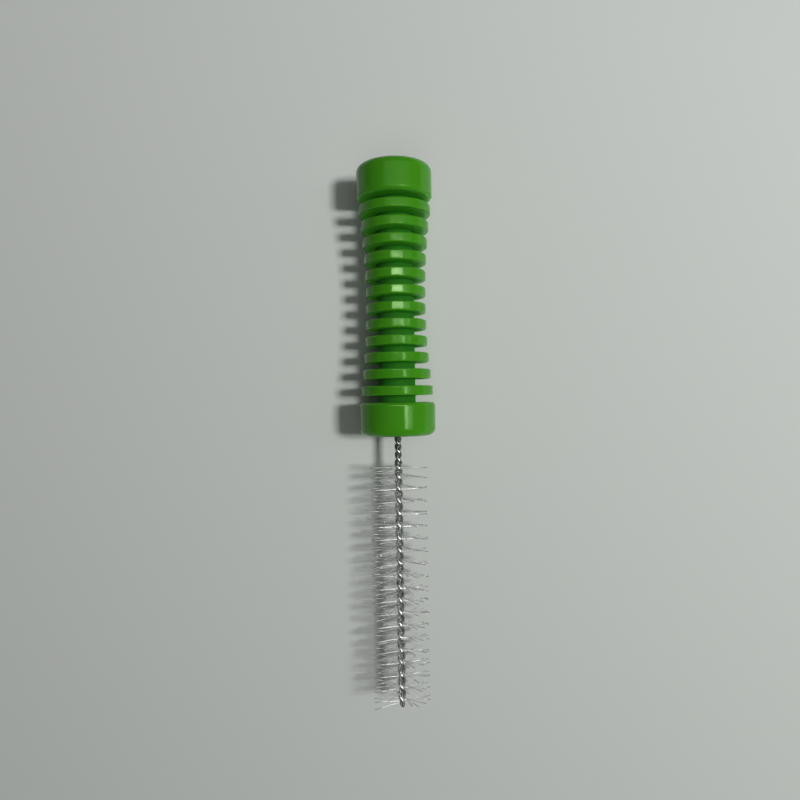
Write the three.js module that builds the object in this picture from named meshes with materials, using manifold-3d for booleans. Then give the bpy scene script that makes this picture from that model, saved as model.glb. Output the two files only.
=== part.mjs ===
// Twisted-in-wire cleaning brush, in millimetres, +Z up.
//
// A waisted, ribbed plastic handle is moulded onto a stem of stainless wire. The stem is one
// wire folded in half, and its two strands are twisted together. Clear nylon filaments cross
// the stem between the strands, so the twist spreads them into a double helix.
//
// The brush lies along Y with its two handle collars on z = 0. The handle is at +Y and the fold
// of the wire is at -Y. Below, "station" is the distance from the handle's nose face towards
// the fold, and an angle round the axis starts at +Z and turns towards +X.

import * as THREE from 'three';
import { mergeVertices } from 'three/addons/utils/BufferGeometryUtils.js';
import Module from 'manifold-3d';

// Handle
const HANDLE_LENGTH = 41.1;
const COLLAR_RADIUS = 5.8;
const COLLAR_LENGTH = 5.05;
const COLLAR_END_ROUND = 1.1;
const COLLAR_INNER_ROUND = 0.5;
const RIB_COUNT = 12;
const RIB_THICKNESS = 1.42;
const WAIST_RADIUS = 4.57;
const WAIST_ARC_RADIUS = 101;
const CORE_RADIUS = 2.8;
const HANDLE_SIDES = 24;

// Wire stem
const WIRE_DIAMETER = 0.55;
const WIRE_SIDES = 6;
const WIRE_EXPOSED = 41.75;
const WIRE_EMBEDDED = 16;
const WIRE_STEPS = 430;
const BORE_CLEARANCE = 0.06;
const BARE_STRAND_GAP = 0.04;
const TRAPPING_GAP = 0.17;

// Twist: tight where the stem is bare, slower where filaments are caught, none at the fold
const BARE_HALF_TURN = 1.22;
const BRUSH_HALF_TURN = 1.906;
const SLOWING_STATION = 3.0;
const SLOWING_LENGTH = 5.5;
const SPREAD_STATION = 3.2;
const SPREAD_LENGTH = 1.4;
const FOLD_EASING_LENGTH = 0.6;
const CROSSING_STATION = 8.13;

// Filaments
const FILAMENT_DIAMETER = 0.15;
const FILAMENT_LENGTH = 9.0;
const FILAMENT_SIDES = 4;
const FILAMENT_ROOT_DIAMETER = 0.12;
const FIRST_FILAMENT_STATION = 4.95;
const LAST_FILAMENT_STATION = 40.93;
const TUFT_COUNT = 19;
const FILAMENTS_PER_TUFT = 8;

// Sizes that follow from the ones above
const TOTAL_LENGTH = HANDLE_LENGTH + WIRE_EXPOSED;
const NOSE_Y = WIRE_EXPOSED - TOTAL_LENGTH / 2;
const AXIS_HEIGHT = COLLAR_RADIUS;
const WIRE_RADIUS = WIRE_DIAMETER / 2;
const BARE_STRAND_RADIUS = WIRE_RADIUS + BARE_STRAND_GAP / 2;
const BRUSH_STRAND_RADIUS = WIRE_RADIUS + TRAPPING_GAP / 2;
const FOLD_STATION = WIRE_EXPOSED - WIRE_RADIUS - BRUSH_STRAND_RADIUS;
const BORE_RADIUS = BARE_STRAND_RADIUS + WIRE_RADIUS + BORE_CLEARANCE;
const BORE_DEPTH = WIRE_EMBEDDED + BORE_CLEARANCE;
const RIB_ZONE_LENGTH = HANDLE_LENGTH - 2 * COLLAR_LENGTH;
const GROOVE_WIDTH = (RIB_ZONE_LENGTH - RIB_COUNT * RIB_THICKNESS) / (RIB_COUNT + 1);

const greenPlastic = new THREE.MeshStandardMaterial({ color: 0x50a41e, roughness: 0.25 });
const stainlessWire = new THREE.MeshStandardMaterial({
  color: 0xa8aaab,
  roughness: 0.3,
  metalness: 1,
});
const clearNylon = new THREE.MeshStandardMaterial({
  color: 0xe6ebe6,
  roughness: 0.3,
  transparent: true,
  opacity: 0.6,
});

const brush = new THREE.Group();

function addPiece(name, geometry, material) {
  const piece = new THREE.Mesh(geometry, material);
  piece.name = name;
  brush.add(piece);
  return piece;
}

// ---- Handle: one lathed moulding with a blind bore for the stem ----

// Radius of the rib rims at a height up the handle, on the shallow arc of the waist.
function waistRadius(height) {
  const offset = height - HANDLE_LENGTH / 2;
  return WAIST_RADIUS + WAIST_ARC_RADIUS - Math.sqrt(WAIST_ARC_RADIUS ** 2 - offset ** 2);
}

function handleProfile() {
  const profile = new THREE.Path();
  const shoulder = COLLAR_RADIUS - COLLAR_END_ROUND;
  const inner = COLLAR_RADIUS - COLLAR_INNER_ROUND;
  const buttStart = HANDLE_LENGTH - COLLAR_LENGTH;

  // Bore, from its blind end out to the nose face
  profile.moveTo(0, BORE_DEPTH);
  profile.lineTo(BORE_RADIUS, BORE_DEPTH);
  profile.lineTo(BORE_RADIUS, 0);

  // Nose collar
  profile.lineTo(shoulder, 0);
  profile.absarc(shoulder, COLLAR_END_ROUND, COLLAR_END_ROUND, -Math.PI / 2, 0);
  profile.lineTo(COLLAR_RADIUS, COLLAR_LENGTH - COLLAR_INNER_ROUND);
  profile.absarc(inner, COLLAR_LENGTH - COLLAR_INNER_ROUND, COLLAR_INNER_ROUND, 0, Math.PI / 2);
  profile.lineTo(CORE_RADIUS, COLLAR_LENGTH);

  // Ribs, each a straight-sided disc whose rim touches the waist's arc
  for (let rib = 0; rib < RIB_COUNT; rib += 1) {
    const start = COLLAR_LENGTH + GROOVE_WIDTH + rib * (RIB_THICKNESS + GROOVE_WIDTH);
    const end = start + RIB_THICKNESS;
    const rim = waistRadius((start + end) / 2);
    profile.lineTo(CORE_RADIUS, start);
    profile.lineTo(rim, start);
    profile.lineTo(rim, end);
    profile.lineTo(CORE_RADIUS, end);
  }

  // Butt collar, closed by a flat end face
  profile.lineTo(CORE_RADIUS, buttStart);
  profile.lineTo(inner, buttStart);
  profile.absarc(inner, buttStart + COLLAR_INNER_ROUND, COLLAR_INNER_ROUND, -Math.PI / 2, 0);
  profile.lineTo(COLLAR_RADIUS, HANDLE_LENGTH - COLLAR_END_ROUND);
  profile.absarc(shoulder, HANDLE_LENGTH - COLLAR_END_ROUND, COLLAR_END_ROUND, 0, Math.PI / 2);
  profile.lineTo(0, HANDLE_LENGTH);
  return profile.getPoints(2);
}

// The facets stand outside the true circle, and one of them faces straight down, so that the
// handle rests on a narrow flat at its true radius.
function handleGeometry() {
  const facet = Math.PI / HANDLE_SIDES;
  const geometry = new THREE.LatheGeometry(handleProfile(), HANDLE_SIDES, facet);
  const outside = 1 / Math.cos(facet);
  geometry.scale(outside, 1, outside);
  return geometry;
}

const handle = addPiece('handle', handleGeometry(), greenPlastic);
handle.position.set(0, NOSE_Y, AXIS_HEIGHT);

// ---- Stem: one wire, folded in half at the tip and twisted ----

// Smooth step from 0 to 1, and its integral, for a fraction that may lie outside 0 to 1.
function ease(fraction) {
  const x = Math.min(Math.max(fraction, 0), 1);
  return x * x * (3 - 2 * x);
}

function easedDistance(fraction) {
  const x = Math.min(Math.max(fraction, 0), 1);
  return x ** 3 - x ** 4 / 2 + Math.max(fraction - 1, 0);
}

// Angle turned between the nose face and a station.
function turned(station) {
  const bareRate = Math.PI / BARE_HALF_TURN;
  const brushRate = Math.PI / BRUSH_HALF_TURN;
  const slowing = easedDistance((station - SLOWING_STATION) / SLOWING_LENGTH) * SLOWING_LENGTH;
  const foldStart = FOLD_STATION - FOLD_EASING_LENGTH;
  const fading = easedDistance((station - foldStart) / FOLD_EASING_LENGTH) * FOLD_EASING_LENGTH;
  return bareRate * station + (brushRate - bareRate) * slowing - brushRate * fading;
}

// Angle of the first strand: straight up at the crossing station.
function strandAngle(station) {
  return turned(station) - turned(CROSSING_STATION);
}

// Distance of a strand from the axis: wider where filaments hold the strands apart.
function strandRadius(station) {
  const spread = ease((station - SPREAD_STATION) / SPREAD_LENGTH);
  return BARE_STRAND_RADIUS + (BRUSH_STRAND_RADIUS - BARE_STRAND_RADIUS) * spread;
}

class FoldedTwistedWire extends THREE.Curve {
  constructor() {
    super();
    this.legLength = WIRE_EMBEDDED + FOLD_STATION;
    this.foldLength = Math.PI * BRUSH_STRAND_RADIUS;
    this.arcLengthDivisions = 6000;
  }

  getPoint(t, target = new THREE.Vector3()) {
    const travelled = t * (2 * this.legLength + this.foldLength);
    const intoFold = travelled - this.legLength;
    if (intoFold <= 0) {
      return this.strandPoint(travelled - WIRE_EMBEDDED, 1, target);
    }
    if (intoFold < this.foldLength) {
      const bend = (Math.PI * intoFold) / this.foldLength;
      return this.foldPoint(bend, target);
    }
    return this.strandPoint(FOLD_STATION - (intoFold - this.foldLength), -1, target);
  }

  // side is 1 for the first strand and -1 for the strand across the axis from it.
  strandPoint(station, side, target) {
    const angle = strandAngle(station);
    const reach = side * strandRadius(station);
    return target.set(reach * Math.sin(angle), -station, reach * Math.cos(angle));
  }

  // A half circle from the first strand, round the tip, to the other one.
  foldPoint(bend, target) {
    const angle = strandAngle(FOLD_STATION);
    const reach = BRUSH_STRAND_RADIUS * Math.cos(bend);
    const y = -FOLD_STATION - BRUSH_STRAND_RADIUS * Math.sin(bend);
    return target.set(reach * Math.sin(angle), y, reach * Math.cos(angle));
  }
}

function wireGeometry() {
  const section = new THREE.Shape();
  for (let side = 0; side < WIRE_SIDES; side += 1) {
    const angle = (2 * Math.PI * side) / WIRE_SIDES;
    const x = WIRE_RADIUS * Math.cos(angle);
    const y = WIRE_RADIUS * Math.sin(angle);
    if (side === 0) {
      section.moveTo(x, y);
    } else {
      section.lineTo(x, y);
    }
  }
  section.closePath();
  const extrudePath = new FoldedTwistedWire();
  return new THREE.ExtrudeGeometry(section, { steps: WIRE_STEPS, extrudePath });
}

const stem = addPiece('wire_stem', wireGeometry(), stainlessWire);
stem.position.set(0, NOSE_Y, AXIS_HEIGHT);

// ---- Filaments: one tuft for each half turn of the stem ----

const wasm = await Module();
wasm.setup();

function toSolid(geometry) {
  geometry.deleteAttribute('normal');
  geometry.deleteAttribute('uv');
  const merged = mergeVertices(geometry);
  const vertProperties = merged.attributes.position.array;
  const triVerts = new Uint32Array(merged.index.array);
  return new wasm.Manifold(new wasm.Mesh({ numProp: 3, vertProperties, triVerts }));
}

function fromSolid(solid) {
  const mesh = solid.getMesh();
  const geometry = new THREE.BufferGeometry();
  geometry.setAttribute('position', new THREE.BufferAttribute(mesh.vertProperties, 3));
  geometry.setIndex(new THREE.BufferAttribute(mesh.triVerts, 1));
  return geometry;
}

function filamentStation(index) {
  const last = TUFT_COUNT * FILAMENTS_PER_TUFT - 1;
  const span = LAST_FILAMENT_STATION - FIRST_FILAMENT_STATION;
  return FIRST_FILAMENT_STATION + (span * index) / last;
}

// A straight filament through the axis, square to the line that joins the two strands.
function filamentSolid(station) {
  const radius = FILAMENT_DIAMETER / 2;
  const rod = new THREE.CylinderGeometry(radius, radius, FILAMENT_LENGTH, FILAMENT_SIDES);
  rod.rotateZ(Math.PI / 2);
  rod.rotateY(strandAngle(station));
  rod.translate(0, -station, 0);
  return toSolid(rod);
}

// The filaments of one half turn, with the line of roots that the strands grip.
function tuftGeometry(tuft) {
  const first = tuft * FILAMENTS_PER_TUFT;
  const start = filamentStation(first);
  const end = filamentStation(first + FILAMENTS_PER_TUFT - 1);
  const rootRadius = FILAMENT_ROOT_DIAMETER / 2;
  const roots = new THREE.CylinderGeometry(rootRadius, rootRadius, end - start, FILAMENT_SIDES);
  roots.translate(0, -(start + end) / 2, 0);
  let solid = toSolid(roots);
  for (let index = first; index < first + FILAMENTS_PER_TUFT; index += 1) {
    solid = solid.add(filamentSolid(filamentStation(index)));
  }
  return fromSolid(solid);
}

for (let tuft = 0; tuft < TUFT_COUNT; tuft += 1) {
  const number = String(tuft + 1).padStart(2, '0');
  const piece = addPiece(`bristle_tuft_${number}`, tuftGeometry(tuft), clearNylon);
  piece.position.set(0, NOSE_Y, AXIS_HEIGHT);
}

export default brush;
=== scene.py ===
"""Looks of a small twisted-in-wire cleaning brush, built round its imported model.

Lengths are in metres in the model's frame. The brush lies along Y, with the butt of its handle
at +Y and the fold of its wire at -Y, and its two collars rest on z = 0. A "station" is a
distance from the handle's nose face towards the fold. An angle round the axis starts at +Z and
turns towards +X.
"""

import math

import bpy
import numpy as np
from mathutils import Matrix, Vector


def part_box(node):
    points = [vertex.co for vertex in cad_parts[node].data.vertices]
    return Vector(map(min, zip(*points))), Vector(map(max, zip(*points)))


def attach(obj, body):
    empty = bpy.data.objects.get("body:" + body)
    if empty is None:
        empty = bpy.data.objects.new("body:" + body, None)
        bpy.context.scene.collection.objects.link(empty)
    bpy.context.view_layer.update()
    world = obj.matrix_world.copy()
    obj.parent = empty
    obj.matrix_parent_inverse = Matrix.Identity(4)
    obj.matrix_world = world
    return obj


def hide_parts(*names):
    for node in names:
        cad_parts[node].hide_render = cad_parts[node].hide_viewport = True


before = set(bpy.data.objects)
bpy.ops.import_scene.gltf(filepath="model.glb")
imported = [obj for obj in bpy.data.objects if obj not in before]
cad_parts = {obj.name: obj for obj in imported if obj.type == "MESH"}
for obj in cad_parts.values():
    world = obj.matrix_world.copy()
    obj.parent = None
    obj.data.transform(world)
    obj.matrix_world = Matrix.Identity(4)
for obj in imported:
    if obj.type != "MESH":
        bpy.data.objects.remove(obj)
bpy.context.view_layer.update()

MM = 0.001

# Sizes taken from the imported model
HANDLE_LOW, HANDLE_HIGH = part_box("handle")
STEM_LOW, STEM_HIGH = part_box("wire_stem")
NOSE_Y = HANDLE_LOW.y
HANDLE_LENGTH = HANDLE_HIGH.y - HANDLE_LOW.y
COLLAR_RADIUS = (HANDLE_HIGH.z - HANDLE_LOW.z) / 2
AXIS_HEIGHT = (HANDLE_HIGH.z + HANDLE_LOW.z) / 2
WIRE_EXPOSED = NOSE_Y - STEM_LOW.y
WIRE_EMBEDDED = STEM_HIGH.y - NOSE_Y
TUFTS = sorted(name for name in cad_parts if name.startswith("bristle_tuft_"))

# Handle moulding
COLLAR_LENGTH = 5.05 * MM
COLLAR_END_ROUND = 1.1 * MM
COLLAR_INNER_ROUND = 0.5 * MM
RIB_COUNT = 12
RIB_THICKNESS = 1.42 * MM
RIB_EDGE_ROUND = 0.2 * MM
GROOVE_ROOT_ROUND = 0.14 * MM
WAIST_RADIUS = 4.57 * MM
WAIST_ARC_RADIUS = 101 * MM
CORE_RADIUS = 2.8 * MM
BORE_RADIUS = 0.63 * MM
BORE_MOUTH_ROUND = 0.12 * MM
GATE_RADIUS = 1.5 * MM
GATE_DEPTH = 0.18 * MM
GATE_EDGE_ROUND = 0.06 * MM
GATE_STUB_RADIUS = 0.45 * MM
GATE_STUB_DEPTH = 0.3 * GATE_DEPTH
GATE_STUB_ROUND = 0.04 * MM
PARTING_RIDGE = 0.02 * MM
PARTING_WIDTH = 0.07 * MM

# How finely the handle is divided
SMALL_ROUND = 0.3 * MM
SMALL_ARC_POINTS = 5
ARC_POINTS = 11
RUN_MARGIN = 0.04 * MM
ANGLES_AROUND = 144
PARTING_ANGLES = 15
PARTING_SPREAD = 1.6 * math.pi / 180

# Twisted stem
WIRE_RADIUS = 0.275 * MM
BARE_STRAND_RADIUS = 0.295 * MM
BRUSH_STRAND_RADIUS = 0.36 * MM
BARE_HALF_TURN = 1.22 * MM
BRUSH_HALF_TURN = 1.906 * MM
SLOWING_STATION = 3.0 * MM
SLOWING_LENGTH = 5.5 * MM
SPREAD_STATION = 3.2 * MM
SPREAD_LENGTH = 1.4 * MM
FOLD_EASING_LENGTH = 0.6 * MM
CROSSING_STATION = 8.13 * MM
FOLD_STATION = WIRE_EXPOSED - WIRE_RADIUS - BRUSH_STRAND_RADIUS
WIRE_END_GAP = 0.05 * MM
WIRE_SIDES = 18
STATIONS_PER_LEG = 520
FOLD_POINTS = 15

# Filaments
FILAMENT_RADIUS = 0.075 * MM
FILAMENT_REACH = 4.45 * MM
FIRST_FILAMENT_STATION = 4.95 * MM
LAST_FILAMENT_STATION = 40.93 * MM
FILAMENTS_PER_TUFT = 8
FILAMENT_RINGS = 7
FILAMENT_SIDES = 6
FILAMENT_SEED = 7
FILAMENT_TURN_SPREAD = math.radians(5)
SHORTEST_REACH = 0.965
LEAN_SPREAD = 0.035
SWAY_SPREAD = 0.02
BEND_POWER = 1.3


# ---- Meshes ----


def piece_from(name, vertices, faces, material, stands_for):
    """A finished piece of the brush from arrays of points and faces."""
    mesh = bpy.data.meshes.new(name)
    mesh.from_pydata(vertices.tolist(), [], faces)
    mesh.polygons.foreach_set("use_smooth", np.ones(len(mesh.polygons), dtype=bool))
    mesh.materials.append(material)
    mesh.update()
    piece = bpy.data.objects.new(name, mesh)
    bpy.context.scene.collection.objects.link(piece)
    if stands_for:
        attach(piece, "root")
        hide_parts(*stands_for)
    return piece


def grid_faces(rows, columns, first=0):
    """Quads between neighbouring rows of points, each row a closed ring."""
    row, column = np.meshgrid(np.arange(rows - 1), np.arange(columns), indexing="ij")
    across = (column + 1) % columns
    corners = [
        row * columns + column,
        row * columns + across,
        (row + 1) * columns + across,
        (row + 1) * columns + column,
    ]
    return (np.stack(corners, axis=-1).reshape(-1, 4) + first).tolist()


def tube_faces(rows, sides, first=0):
    """Faces of a closed tube: the quads between its rings and a flat cap at each end."""
    last = first + (rows - 1) * sides
    start_cap = list(range(first, first + sides))[::-1]
    end_cap = list(range(last, last + sides))
    return grid_faces(rows, sides, first) + [start_cap, end_cap]


# ---- Handle ----


def arc_between(before, corner, after, radius):
    """Points of the arc of that radius that touches both lines through a corner."""
    back = (before - corner) / np.linalg.norm(before - corner)
    ahead = (after - corner) / np.linalg.norm(after - corner)
    half = math.acos(float(np.clip(back @ ahead, -1, 1))) / 2
    middle = (back + ahead) / np.linalg.norm(back + ahead)
    centre = corner + middle * radius / math.sin(half)
    start = corner + back * radius / math.tan(half) - centre
    end = corner + ahead * radius / math.tan(half) - centre
    turn = math.pi - 2 * half
    points = SMALL_ARC_POINTS if radius < SMALL_ROUND else ARC_POINTS
    share = np.linspace(0, 1, points)[:, None]
    spread = np.sin((1 - share) * turn) * start + np.sin(share * turn) * end
    return centre + spread / math.sin(turn)


def margins(start, end):
    """Two points just inside the ends of a straight run, which keep its shading flat."""
    length = np.linalg.norm(end - start)
    if length < 4 * RUN_MARGIN:
        return np.empty((0, 2))
    inset = (end - start) * RUN_MARGIN / length
    return np.array([start + inset, end - inset])


def rounded_outline(corners):
    """The outline through (radius, height, rounding) corners, with an arc at each rounding."""
    places = np.array([corner[:2] for corner in corners])
    runs = [places[:1]]
    for index in range(1, len(corners)):
        rounding = corners[index][2]
        run = places[index : index + 1]
        if rounding:
            run = arc_between(*places[index - 1 : index + 2], rounding)
        runs += [margins(runs[-1][-1], run[0]), run]
    return np.concatenate(runs)


def waist_radius(height):
    """Radius of the rib rims at a height up the handle: a shallow arc, least half way."""
    offset = height - HANDLE_LENGTH / 2
    return WAIST_RADIUS + WAIST_ARC_RADIUS - math.sqrt(WAIST_ARC_RADIUS**2 - offset**2)


def handle_corners():
    """Corners of the handle's half section, from the bore's blind end to the butt's centre."""
    rib_zone = HANDLE_LENGTH - 2 * COLLAR_LENGTH
    groove = (rib_zone - RIB_COUNT * RIB_THICKNESS) / (RIB_COUNT + 1)
    butt_start = HANDLE_LENGTH - COLLAR_LENGTH
    corners = [
        (0, WIRE_EMBEDDED, 0),
        (BORE_RADIUS, WIRE_EMBEDDED, 0),
        (BORE_RADIUS, 0, BORE_MOUTH_ROUND),
        (COLLAR_RADIUS, 0, COLLAR_END_ROUND),
        (COLLAR_RADIUS, COLLAR_LENGTH, COLLAR_INNER_ROUND),
        (CORE_RADIUS, COLLAR_LENGTH, GROOVE_ROOT_ROUND),
    ]
    for rib in range(RIB_COUNT):
        start = COLLAR_LENGTH + groove + rib * (RIB_THICKNESS + groove)
        end = start + RIB_THICKNESS
        rim = waist_radius((start + end) / 2)
        corners += [
            (CORE_RADIUS, start, GROOVE_ROOT_ROUND),
            (rim, start, RIB_EDGE_ROUND),
            (rim, end, RIB_EDGE_ROUND),
            (CORE_RADIUS, end, GROOVE_ROOT_ROUND),
        ]
    return corners + [
        (CORE_RADIUS, butt_start, GROOVE_ROOT_ROUND),
        (COLLAR_RADIUS, butt_start, COLLAR_INNER_ROUND),
        (COLLAR_RADIUS, HANDLE_LENGTH, COLLAR_END_ROUND),
        (GATE_RADIUS, HANDLE_LENGTH, GATE_EDGE_ROUND),
        (GATE_RADIUS, HANDLE_LENGTH - GATE_DEPTH, GATE_EDGE_ROUND),
        (GATE_STUB_RADIUS, HANDLE_LENGTH - GATE_DEPTH, GATE_STUB_ROUND),
        (GATE_STUB_RADIUS, HANDLE_LENGTH - GATE_STUB_DEPTH, GATE_STUB_ROUND),
        (0, HANDLE_LENGTH - GATE_STUB_DEPTH, 0),
    ]


def ring_angles():
    """Angles round the axis, evenly spaced and closer together at the two parting lines."""
    even = np.linspace(0, 2 * math.pi, ANGLES_AROUND, endpoint=False)
    near = np.linspace(-1, 1, PARTING_ANGLES) * PARTING_SPREAD
    angles = np.concatenate([even, math.pi / 2 + near, 3 * math.pi / 2 + near])
    return np.unique(np.round(angles, 6))


def handle_moulding(material):
    """The handle, an outline turned about the axis.

    At height h and angle a the radius is the outline's radius, less a shrinkage that goes with
    sin(a) squared, plus a ridge along each parting line: a bell curve of the distance from it.
    The shrinkage and the ridge fade out towards the axis.
    """
    outline = rounded_outline(handle_corners())
    angle = ring_angles()
    radius = outline[1:-1, 0][:, None]
    height = outline[1:-1, 1][:, None]
    outside = np.clip((radius - CORE_RADIUS) / MM, 0, 1)
    off_parting = np.abs(np.cos(angle)) * radius
    ridge = np.exp(-((off_parting / PARTING_WIDTH) ** 2)) - np.sin(angle) ** 2
    turned_radius = radius + PARTING_RIDGE * ridge * outside
    rings = np.stack(
        [
            turned_radius * np.sin(angle),
            np.broadcast_to(NOSE_Y + height, turned_radius.shape),
            AXIS_HEIGHT + turned_radius * np.cos(angle),
        ],
        axis=-1,
    )
    rows, columns = turned_radius.shape
    poles = np.array([[0, NOSE_Y + outline[end, 1], AXIS_HEIGHT] for end in (0, -1)])
    vertices = np.concatenate([rings.reshape(-1, 3), poles])
    first_pole = rows * columns
    around = np.arange(columns)
    following = (around + 1) % columns
    last_row = (rows - 1) * columns
    pole = np.full(columns, first_pole)
    start_cap = np.stack([following, around, pole], axis=-1)
    end_cap = np.stack([last_row + around, last_row + following, pole + 1], axis=-1)
    faces = grid_faces(rows, columns) + start_cap.tolist() + end_cap.tolist()
    piece_from("handle_moulding", vertices, faces, material, ["handle"])


# ---- Stem ----


def eased(fraction):
    """Smooth step from 0 to 1."""
    x = np.clip(fraction, 0, 1)
    return x * x * (3 - 2 * x)


def eased_distance(fraction):
    """Integral of the smooth step."""
    x = np.clip(fraction, 0, 1)
    return x**3 - x**4 / 2 + np.maximum(fraction - 1, 0)


def turned(station):
    """Angle turned from the nose face: tight at first, slower in the brush, none at the fold."""
    bare_rate = math.pi / BARE_HALF_TURN
    brush_rate = math.pi / BRUSH_HALF_TURN
    slowing = SLOWING_LENGTH * eased_distance((station - SLOWING_STATION) / SLOWING_LENGTH)
    fold_start = FOLD_STATION - FOLD_EASING_LENGTH
    fading = FOLD_EASING_LENGTH * eased_distance((station - fold_start) / FOLD_EASING_LENGTH)
    return bare_rate * station + (brush_rate - bare_rate) * slowing - brush_rate * fading


def strand_angle(station):
    """Angle of the first strand, which is straight up at the crossing station."""
    return turned(station) - turned(CROSSING_STATION)


def strand_radius(station):
    """Distance of a strand from the axis, wider where filaments hold the strands apart."""
    spread = eased((station - SPREAD_STATION) / SPREAD_LENGTH)
    return BARE_STRAND_RADIUS + (BRUSH_STRAND_RADIUS - BARE_STRAND_RADIUS) * spread


def strand_line(stations, side):
    """Centre line of one strand and its outward directions, as two arrays of vectors."""
    angle = strand_angle(stations)
    outward = side * np.stack([np.sin(angle), np.zeros_like(angle), np.cos(angle)], axis=-1)
    centre = outward * strand_radius(stations)[:, None]
    centre[:, 1] = -stations
    return centre, outward


def fold_line():
    """The half circle round the tip, in the plane of the two strands, as strand_line gives it."""
    bend = np.linspace(0, math.pi, FOLD_POINTS)[1:-1, None]
    angle = strand_angle(FOLD_STATION)
    sideways = np.array([math.sin(angle), 0, math.cos(angle)])
    outward = np.cos(bend) * sideways + np.sin(bend) * np.array([0, -1.0, 0])
    centre = BRUSH_STRAND_RADIUS * outward + np.array([0, -FOLD_STATION, 0])
    return centre, outward


def twisted_wire(material):
    """The folded wire, a circle carried along the two strands and the fold between them.

    A strand's centre at station s is at the strand's radius and angle from the axis, and the
    other strand is opposite. The circle's first axis is the outward direction, made square to
    the line, and its second axis is square to both.
    """
    stations = np.linspace(WIRE_END_GAP - WIRE_EMBEDDED, FOLD_STATION, STATIONS_PER_LEG)
    legs = [strand_line(stations, 1), fold_line(), strand_line(stations[::-1], -1)]
    centre, outward = (np.concatenate(parts) for parts in zip(*legs))
    tangent = np.gradient(centre, axis=0)
    tangent /= np.linalg.norm(tangent, axis=1, keepdims=True)
    outward -= tangent * np.sum(outward * tangent, axis=1, keepdims=True)
    outward /= np.linalg.norm(outward, axis=1, keepdims=True)
    sideways = np.cross(tangent, outward)
    angle = np.linspace(0, 2 * math.pi, WIRE_SIDES, endpoint=False)[:, None]
    rings = (
        centre[:, None]
        + WIRE_RADIUS * np.cos(angle) * outward[:, None]
        + WIRE_RADIUS * np.sin(angle) * sideways[:, None]
    )
    rings += np.array([0, NOSE_Y, AXIS_HEIGHT])
    vertices = rings.reshape(-1, 3)
    faces = tube_faces(len(centre), WIRE_SIDES)
    piece = piece_from("twisted_wire", vertices, faces, material, ["wire_stem"])
    steps = np.linalg.norm(np.diff(centre, axis=0), axis=1)
    add_wire_uv(piece.data, np.concatenate([[0], np.cumsum(steps)]))
    return piece


def add_wire_uv(mesh, travelled):
    """UV map of the wire: u is the distance round it and v the distance along it, in metres."""
    corner_vertex = np.zeros(len(mesh.loops), dtype=np.int32)
    mesh.loops.foreach_get("vertex_index", corner_vertex)
    row, column = np.divmod(corner_vertex, WIRE_SIDES)
    face_corners = [len(face.vertices) for face in mesh.polygons]
    corner_face = np.repeat(np.arange(len(face_corners)), face_corners)
    seam_face = corner_face % WIRE_SIDES == WIRE_SIDES - 1
    column = np.where(seam_face & (column == 0), WIRE_SIDES, column)
    around = 2 * math.pi * WIRE_RADIUS * column / WIRE_SIDES
    layer = mesh.uv_layers.new(name="wire")
    layer.data.foreach_set("uv", np.stack([around, travelled[row]], axis=-1).ravel())


# ---- Filaments ----


def filament_tuft(node, stations, random, material):
    """The filaments of one half turn, each a hexagon carried along a slightly bent line.

    At q from -1 to 1 along a filament, its centre is q times the reach across the stem, plus a
    lean along the stem and a sway round it. Both grow with a power of the size of q, and each
    half of the filament has its own. The filaments send no light back to other surfaces, which
    keeps their shadow dark.
    """
    count = len(stations)
    q = np.linspace(-1, 1, FILAMENT_RINGS)
    angle = strand_angle(stations) + random.normal(0, FILAMENT_TURN_SPREAD, count)
    reach = FILAMENT_REACH * random.uniform(SHORTEST_REACH, 1.0, (2, count))
    lean = random.normal(0, LEAN_SPREAD, (2, count))
    sway = random.normal(0, SWAY_SPREAD, (2, count))
    half = (q > 0).astype(int)
    across = q[:, None] * reach[half]
    grown = (np.abs(q) ** BEND_POWER)[:, None] * FILAMENT_REACH
    zero = np.zeros(count)
    along = np.stack([np.cos(angle), zero, -np.sin(angle)], axis=-1)
    upright = np.stack([np.sin(angle), zero, np.cos(angle)], axis=-1)
    stemwise = np.array([0, 1.0, 0])
    root = np.stack([zero, NOSE_Y - stations, zero + AXIS_HEIGHT], axis=-1)
    centre = (
        root
        + across[..., None] * along
        + (grown * lean[half])[..., None] * stemwise
        + (grown * sway[half])[..., None] * upright
    )
    turn = np.linspace(0, 2 * math.pi, FILAMENT_SIDES, endpoint=False)[:, None]
    section = FILAMENT_RADIUS * (np.cos(turn) * stemwise + np.sin(turn) * upright[:, None])
    points = centre.transpose(1, 0, 2)[:, :, None] + section[:, None]
    points_each = FILAMENT_RINGS * FILAMENT_SIDES
    faces = []
    for filament in range(count):
        faces += tube_faces(FILAMENT_RINGS, FILAMENT_SIDES, filament * points_each)
    name = node.replace("bristle_tuft", "filaments")
    vertices = points.reshape(-1, 3)
    piece = piece_from(name, vertices, faces, material, [node])
    piece.visible_diffuse = False
    return piece


def all_filaments(material):
    """One tuft for each tuft of the model, evenly along the brush."""
    random = np.random.default_rng(FILAMENT_SEED)
    count = len(TUFTS) * FILAMENTS_PER_TUFT
    stations = np.linspace(FIRST_FILAMENT_STATION, LAST_FILAMENT_STATION, count)
    tufts = zip(TUFTS, stations.reshape(len(TUFTS), FILAMENTS_PER_TUFT))
    return [filament_tuft(node, group, random, material) for node, group in tufts]


# ---- Materials ----

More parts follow.
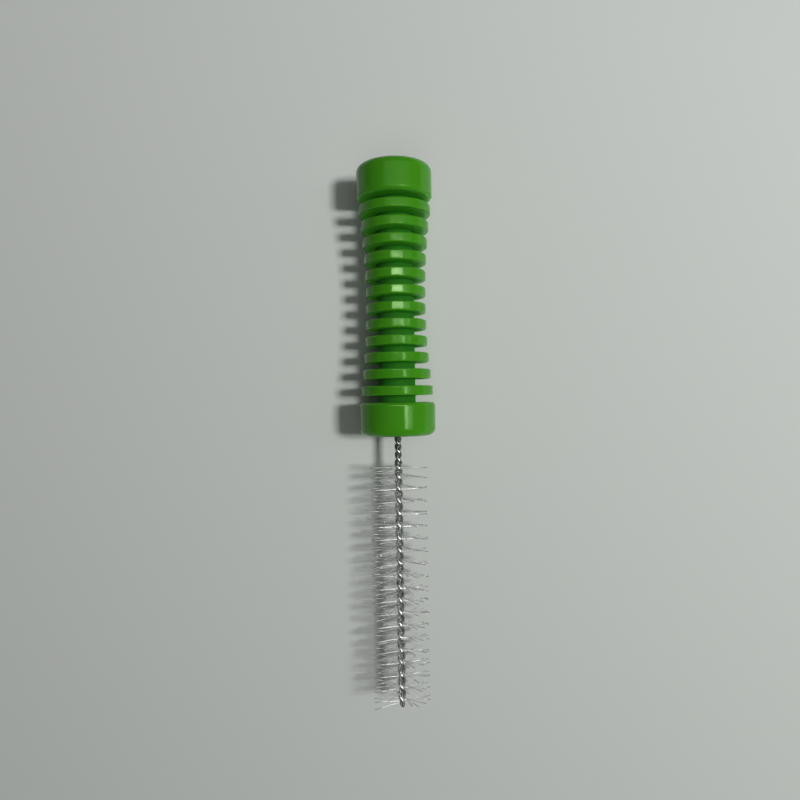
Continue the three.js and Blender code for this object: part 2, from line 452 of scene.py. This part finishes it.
RIM_GREENS = (0.057, 0.285, 0.008, 1), (0.065, 0.308, 0.013, 1)
# Painted light: the lighter green of the ribs' sides stands in for light falling between the ribs
RIB_SIDE_PAINTED_LIGHT_GREEN = (0.140, 0.620, 0.040, 1)
# Painted shade: the darker green of the core stands in for shade deep in the grooves
CORE_PAINTED_SHADE_GREEN = (0.017, 0.168, 0.008, 1)
STEEL_GREYS = (0.34, 0.35, 0.33, 1), (0.50, 0.51, 0.49, 1)
NYLON_WHITES = (0.96, 0.97, 0.95, 1), (1.0, 1.0, 0.99, 1)
# Painted light: the floor's colour goes from the darker grey to the lighter one towards the
# window
FLOOR_PAINTED_LIGHT_GREYS = (0.565, 0.593, 0.562, 1), (0.712, 0.742, 0.708, 1)
FLOOR_CLOUD_GREY = (0.58, 0.64, 0.58, 1)
FLOOR_SHADE_REACH = 75 * MM
RIB_ZONE_FADE = 0.1 * MM
# Depths below the rims over which the ribs' sides get matt and take the painted light
RIB_MATT_AND_PAINTED_LIGHT_DEPTHS = 0.1 * MM, 1.3 * MM
RIB_SIDE_FADE = 0.15
CORE_SHADE_DEPTH = 0.3 * MM
CORE_SHADE_FADE = 0.2 * MM
WIRE_LINE_STRETCH = 0.04


class Value:
    """A node socket. Arithmetic on it adds Math nodes."""

    def __init__(self, finish, socket):
        self.finish = finish
        self.socket = socket

    def _maths(self, operation, first, second):
        settings = {"operation": operation}
        return self.finish.add("ShaderNodeMath", settings, {0: first, 1: second})["Value"]

    def __add__(self, other):
        return self._maths("ADD", self, other)

    __radd__ = __add__

    def __sub__(self, other):
        return self._maths("SUBTRACT", self, other)

    def __rsub__(self, other):
        return self._maths("SUBTRACT", other, self)

    def __mul__(self, other):
        return self._maths("MULTIPLY", self, other)

    __rmul__ = __mul__

    def __truediv__(self, other):
        return self._maths("DIVIDE", self, other)

    def __pow__(self, other):
        return self._maths("POWER", self, other)


class Finish:
    """A material while its nodes are being added."""

    def __init__(self, name):
        self.material = bpy.data.materials.new(name)
        self.material.use_nodes = True
        self.nodes = self.material.node_tree.nodes
        self.links = self.material.node_tree.links
        self.nodes.clear()

    def add(self, kind, settings, sockets):
        """Adds a node, sets it up, fills or links its sockets and gives its outputs by name."""
        node = self.nodes.new(kind)
        for name, value in settings.items():
            setattr(node, name, value)
        for key, value in sockets.items():
            if isinstance(value, Value):
                self.links.new(value.socket, node.inputs[key])
            else:
                node.inputs[key].default_value = value
        return {socket.name: Value(self, socket) for socket in node.outputs if socket.enabled}

    def closed(self, sockets):
        """The material, with a Principled surface of those sockets at its output."""
        surface = self.add("ShaderNodeBsdfPrincipled", {}, sockets)["BSDF"]
        self.add("ShaderNodeOutputMaterial", {}, {"Surface": surface})
        return self.material

    def coordinates(self, name="Object"):
        return self.add("ShaderNodeTexCoord", {}, {})[name]

    def apart(self, where):
        """The X, Y and Z of a vector."""
        parts = self.add("ShaderNodeSeparateXYZ", {}, {"Vector": where})
        return parts["X"], parts["Y"], parts["Z"]

    def noise(self, where, size, detail, roughness=0.5):
        """Noise from 0 to 1 with features of that size in metres."""
        sockets = {"Vector": where, "Scale": 1 / size, "Detail": detail, "Roughness": roughness}
        return self.add("ShaderNodeTexNoise", {}, sockets)["Fac"]

    def between(self, value, low, high):
        """0 below low and 1 above high, straight between them."""
        sockets = {"Value": value, "From Min": low, "From Max": high}
        return self.add("ShaderNodeMapRange", {"clamp": True}, sockets)["Result"]

    def mixed(self, factor, first, second):
        """A colour between two colours."""
        sockets = {0: factor, 6: first, 7: second}
        return self.add("ShaderNodeMix", {"data_type": "RGBA"}, sockets)["Result"]

    def bumped(self, height, distance, strength):
        """A surface direction with the bumps of that height value."""
        sockets = {"Height": height, "Distance": distance, "Strength": strength}
        return self.add("ShaderNodeBump", {}, sockets)["Normal"]


def moulded_green():
    """Glossy moulded plastic with a faint mottle and a finger haze.

    Between the collars the ribs' sides get more matt with depth below the rims, and their colour
    is lighter there: painted light. The core's colour is darker: painted shade. The plastic
    carries some light inside it.
    """
    finish = Finish("moulded_green")
    place = finish.coordinates()
    x, y, z = finish.apart(place)
    rise = z - AXIS_HEIGHT
    distance = (x * x + rise * rise) ** 0.5
    along = y - (NOSE_Y + HANDLE_LENGTH / 2)
    rim = WAIST_RADIUS + along * along / (2 * WAIST_ARC_RADIUS)
    zone_end = HANDLE_LENGTH / 2 - COLLAR_LENGTH
    in_zone = 1 - finish.between(along * along, zone_end**2, (zone_end + RIB_ZONE_FADE) ** 2)
    depth = finish.between(rim - distance, *RIB_MATT_AND_PAINTED_LIGHT_DEPTHS) * in_zone
    mottle = finish.noise(place, 3.5 * MM, 3)
    haze = finish.noise(place, 2.2 * MM, 4, 0.6)
    peel = finish.noise(place, 0.5 * MM, 2)
    painted_side_light = finish.between(depth, 0, RIB_SIDE_FADE)
    shade_radius = CORE_RADIUS + CORE_SHADE_DEPTH
    painted_core_shade = finish.between(shade_radius - distance, 0, CORE_SHADE_FADE) * in_zone
    # painted light on the ribs' sides
    colour = finish.mixed(painted_side_light, finish.mixed(mottle, *RIM_GREENS), RIB_SIDE_PAINTED_LIGHT_GREEN)
    sockets = {
        # painted shade on the core
        "Base Color": finish.mixed(painted_core_shade, colour, CORE_PAINTED_SHADE_GREEN),
        "Roughness": 0.11 + 0.06 * haze + 0.6 * depth,
        "Specular IOR Level": 0.5,
        "Specular Tint": (0.65, 1.0, 0.48, 1),
        "IOR": 1.49,
        "Subsurface Weight": 0.6,
        "Subsurface Radius": (0.3, 1.0, 0.15),
        "Subsurface Scale": 2 * MM,
        "Normal": finish.bumped(peel, 0.002 * MM, 0.6),
    }
    return finish.closed(sockets)


def drawn_steel():
    """Drawn stainless wire: fine lines along the wire and a darker film where it is rubbed."""
    finish = Finish("drawn_steel")
    sockets = {"Vector": finish.coordinates("UV"), "Scale": (1, WIRE_LINE_STRETCH, 1)}
    stretched = finish.add("ShaderNodeMapping", {}, sockets)["Vector"]
    lines = finish.noise(stretched, 0.05 * MM, 3, 0.6)
    film = finish.noise(finish.coordinates(), 1.3 * MM, 3)
    sockets = {
        "Base Color": finish.mixed(film, *STEEL_GREYS),
        "Metallic": 1.0,
        "Roughness": 0.2 + 0.12 * lines,
        "Normal": finish.bumped(lines, 0.003 * MM, 0.5),
    }
    return finish.closed(sockets)


def clear_nylon():
    """Clear nylon filament, a little cloudy in places."""
    finish = Finish("clear_nylon")
    cloud = finish.noise(finish.coordinates(), 1.1 * MM, 2)
    sockets = {
        "Base Color": finish.mixed(cloud, *NYLON_WHITES),
        "Roughness": 0.20 + 0.06 * cloud,
        "Alpha": 0.78 + 0.12 * cloud,
        "IOR": 1.6,
        "Specular IOR Level": 0.8,
        "Transmission Weight": 0.85,
    }
    return finish.closed(sockets)


def pale_floor():
    """Pale matt floor with a very faint cloudiness. Its colour grows lighter towards the window:
    painted light.
    """
    finish = Finish("pale_floor")
    place = finish.coordinates()
    x, y, _ = finish.apart(place)
    # painted light: the floor's colour grows lighter towards the window
    slant = 0.3 * x + 0.95 * y
    painted_window_light = finish.between(slant, -FLOOR_SHADE_REACH, FLOOR_SHADE_REACH)
    cloud = finish.noise(place, 35 * MM, 4)
    fleck = finish.noise(place, 1.5 * MM, 3)
    colour = finish.mixed(painted_window_light, *FLOOR_PAINTED_LIGHT_GREYS)
    colour = finish.mixed(0.1 * cloud + 0.04 * fleck, colour, FLOOR_CLOUD_GREY)
    sockets = {"Base Color": colour, "Roughness": 0.7}
    return finish.closed(sockets)


# ---- Stage ----

FLOOR_HALF_WIDTH = 1.5

# How strongly the floor under the brush is lit, and the surround's share of that
FLOOR_LIGHT = 2.12
AMBIENT_SHARE = 0.06
AMBIENT_TINT = (0.97, 1.0, 0.98, 1)

# Lamps that overlap at one height would hide each other, so each kind has its own height
KEY_HEIGHT = 0.6
STEM_GLINT_HEIGHT = 0.59
BRISTLE_GLINT_HEIGHT = 0.58
PANEL_HEIGHT = 0.8
CEILING_HEIGHT = 0.82

# The key light: ranges in x and in y, and its share of the floor's light
KEY_X = (0.283, 0.397)
KEY_Y = (-0.018, 0.066)
KEY_SHARE = 0.79
BRISTLE_GLINT_X = (0.24, 0.44)
BRISTLE_GLINT_GAIN = 3.5

# Soft lights: name, ranges in x and in y, share of the floor's light
SOFT_LIGHTS = [
    ("ceiling_light", (-0.185, 0.462), (0.129, 0.200), 0.04),
    ("far_light", (0.48, 2.2), (0.129, 0.200), 0.02),
    ("room_light", (-0.25, 0.35), (-0.8, -0.28), 0.10),
]

# Highlights: name, ranges in x and in y, brightness
HIGHLIGHTS = [
    ("window", (-0.185, 0.408), (0.132, 0.199), 16.5),
    ("window_side", (0.408, 1.14), (0.132, 0.199), 3.2),
    ("strip", (0.323, 0.480), (0.007, 0.121), 4.4),
    ("strip_end", (0.323, 0.480), (-0.040, 0.006), 11.0),
    ("strip_side", (0.480, 0.800), (-0.040, 0.006), 4.5),
    ("spot", (0.356, 0.462), (0.217, 0.238), 6.5),
    ("wall", (-0.45, 1.5), (0.26, 0.45), 0.5),
]

CAMERA_SENSOR_WIDTH = 36
CAMERA_LENS = 29.6
CAMERA_CLIP_START = 10 * MM
CAMERA_PLACE = (0.41 * MM, 5.725 * MM, AXIS_HEIGHT + 100.9 * MM)
CAMERA_TURN = math.radians(-0.96)


def add_floor():
    """A wide flat sheet at z = 0."""
    side = np.linspace(-FLOOR_HALF_WIDTH, FLOOR_HALF_WIDTH, 3)
    x, y = np.meshgrid(side, side)
    vertices = np.stack([x, y, np.zeros_like(x)], axis=-1).reshape(-1, 3)
    faces = [[corner, corner + 1, corner + 4, corner + 3] for corner in (0, 1, 3, 4)]
    floor = piece_from("floor", vertices, faces, pale_floor(), [])


def add_lamp(name, height, x_range, y_range, power):
    """A flat lamp that faces down, at a height and between two places in x and two in y.

    It can't be seen through the clear filaments.
    """
    low = np.array([x_range[0], y_range[0], height])
    high = np.array([x_range[1], y_range[1], height])
    data = bpy.data.lights.new(name, "AREA")
    data.shape = "RECTANGLE"
    data.size, data.size_y = (high - low)[:2]
    data.energy = power
    lamp = bpy.data.objects.new(name, data)
    lamp.location = (low + high) / 2
    lamp.visible_transmission = False
    bpy.context.scene.collection.objects.link(lamp)
    return lamp


def add_soft_light(name, height, x_range, y_range, share):
    """A lamp that gives a share of the floor's light under the brush and no highlights."""
    middle = np.array([sum(x_range) / 2, sum(y_range) / 2, height])
    power = FLOOR_LIGHT * share * math.pi * (middle @ middle) ** 2 / height**2
    lamp = add_lamp(name, height, x_range, y_range, power)
    lamp.visible_glossy = False
    return lamp


def add_highlight(name, x_range, y_range, brightness):
    """A panel that shows only as a highlight. Its power goes with its area and brightness."""
    area = (x_range[1] - x_range[0]) * (y_range[1] - y_range[0])
    lamp = add_lamp(name, PANEL_HEIGHT, x_range, y_range, math.pi * area * brightness)
    lamp.visible_diffuse = False


def add_glint(name, height, x_range, power, pieces):
    """A lamp over the key light's range in y that shows only as a highlight on some pieces."""
    lamp = add_lamp(name, height, x_range, KEY_Y, power)
    lamp.visible_diffuse = False
    receivers = bpy.data.collections.new(name)
    for piece in pieces:
        receivers.objects.link(piece)
    lamp.light_linking.receiver_collection = receivers


def add_surround():
    """Dim even light from all round."""
    world = bpy.data.worlds.new("surround")
    world.use_nodes = True
    background = world.node_tree.nodes["Background"]
    background.inputs["Color"].default_value = AMBIENT_TINT
    background.inputs["Strength"].default_value = FLOOR_LIGHT * AMBIENT_SHARE / math.pi
    bpy.context.scene.world = world


def add_lights(stem, filaments):
    """A key light on the right with its glints, soft room light, highlights and a surround."""
    power = add_soft_light("key_light", KEY_HEIGHT, KEY_X, KEY_Y, KEY_SHARE).data.energy
    add_glint("key_glint", STEM_GLINT_HEIGHT, KEY_X, power, [stem])
    bristle_power = BRISTLE_GLINT_GAIN * power
    add_glint("bristle_glint", BRISTLE_GLINT_HEIGHT, BRISTLE_GLINT_X, bristle_power, filaments)
    for name, x_range, y_range, share in SOFT_LIGHTS:
        add_soft_light(name, CEILING_HEIGHT, x_range, y_range, share)
    for highlight in HIGHLIGHTS:
        add_highlight(*highlight)
    add_surround()


def add_camera():
    """A camera that looks straight down from a hand's breadth above the brush."""
    data = bpy.data.cameras.new("camera")
    data.sensor_width = CAMERA_SENSOR_WIDTH
    data.lens = CAMERA_LENS
    data.clip_start = CAMERA_CLIP_START
    camera = bpy.data.objects.new("camera", data)
    camera.location = CAMERA_PLACE
    camera.rotation_euler = (0, 0, CAMERA_TURN)
    bpy.context.scene.collection.objects.link(camera)
    bpy.context.scene.camera = camera


handle_moulding(moulded_green())
stem = twisted_wire(drawn_steel())
filaments = all_filaments(clear_nylon())
add_floor()
add_lights(stem, filaments)
add_camera()
bpy.context.scene.view_settings.view_transform = "Standard"
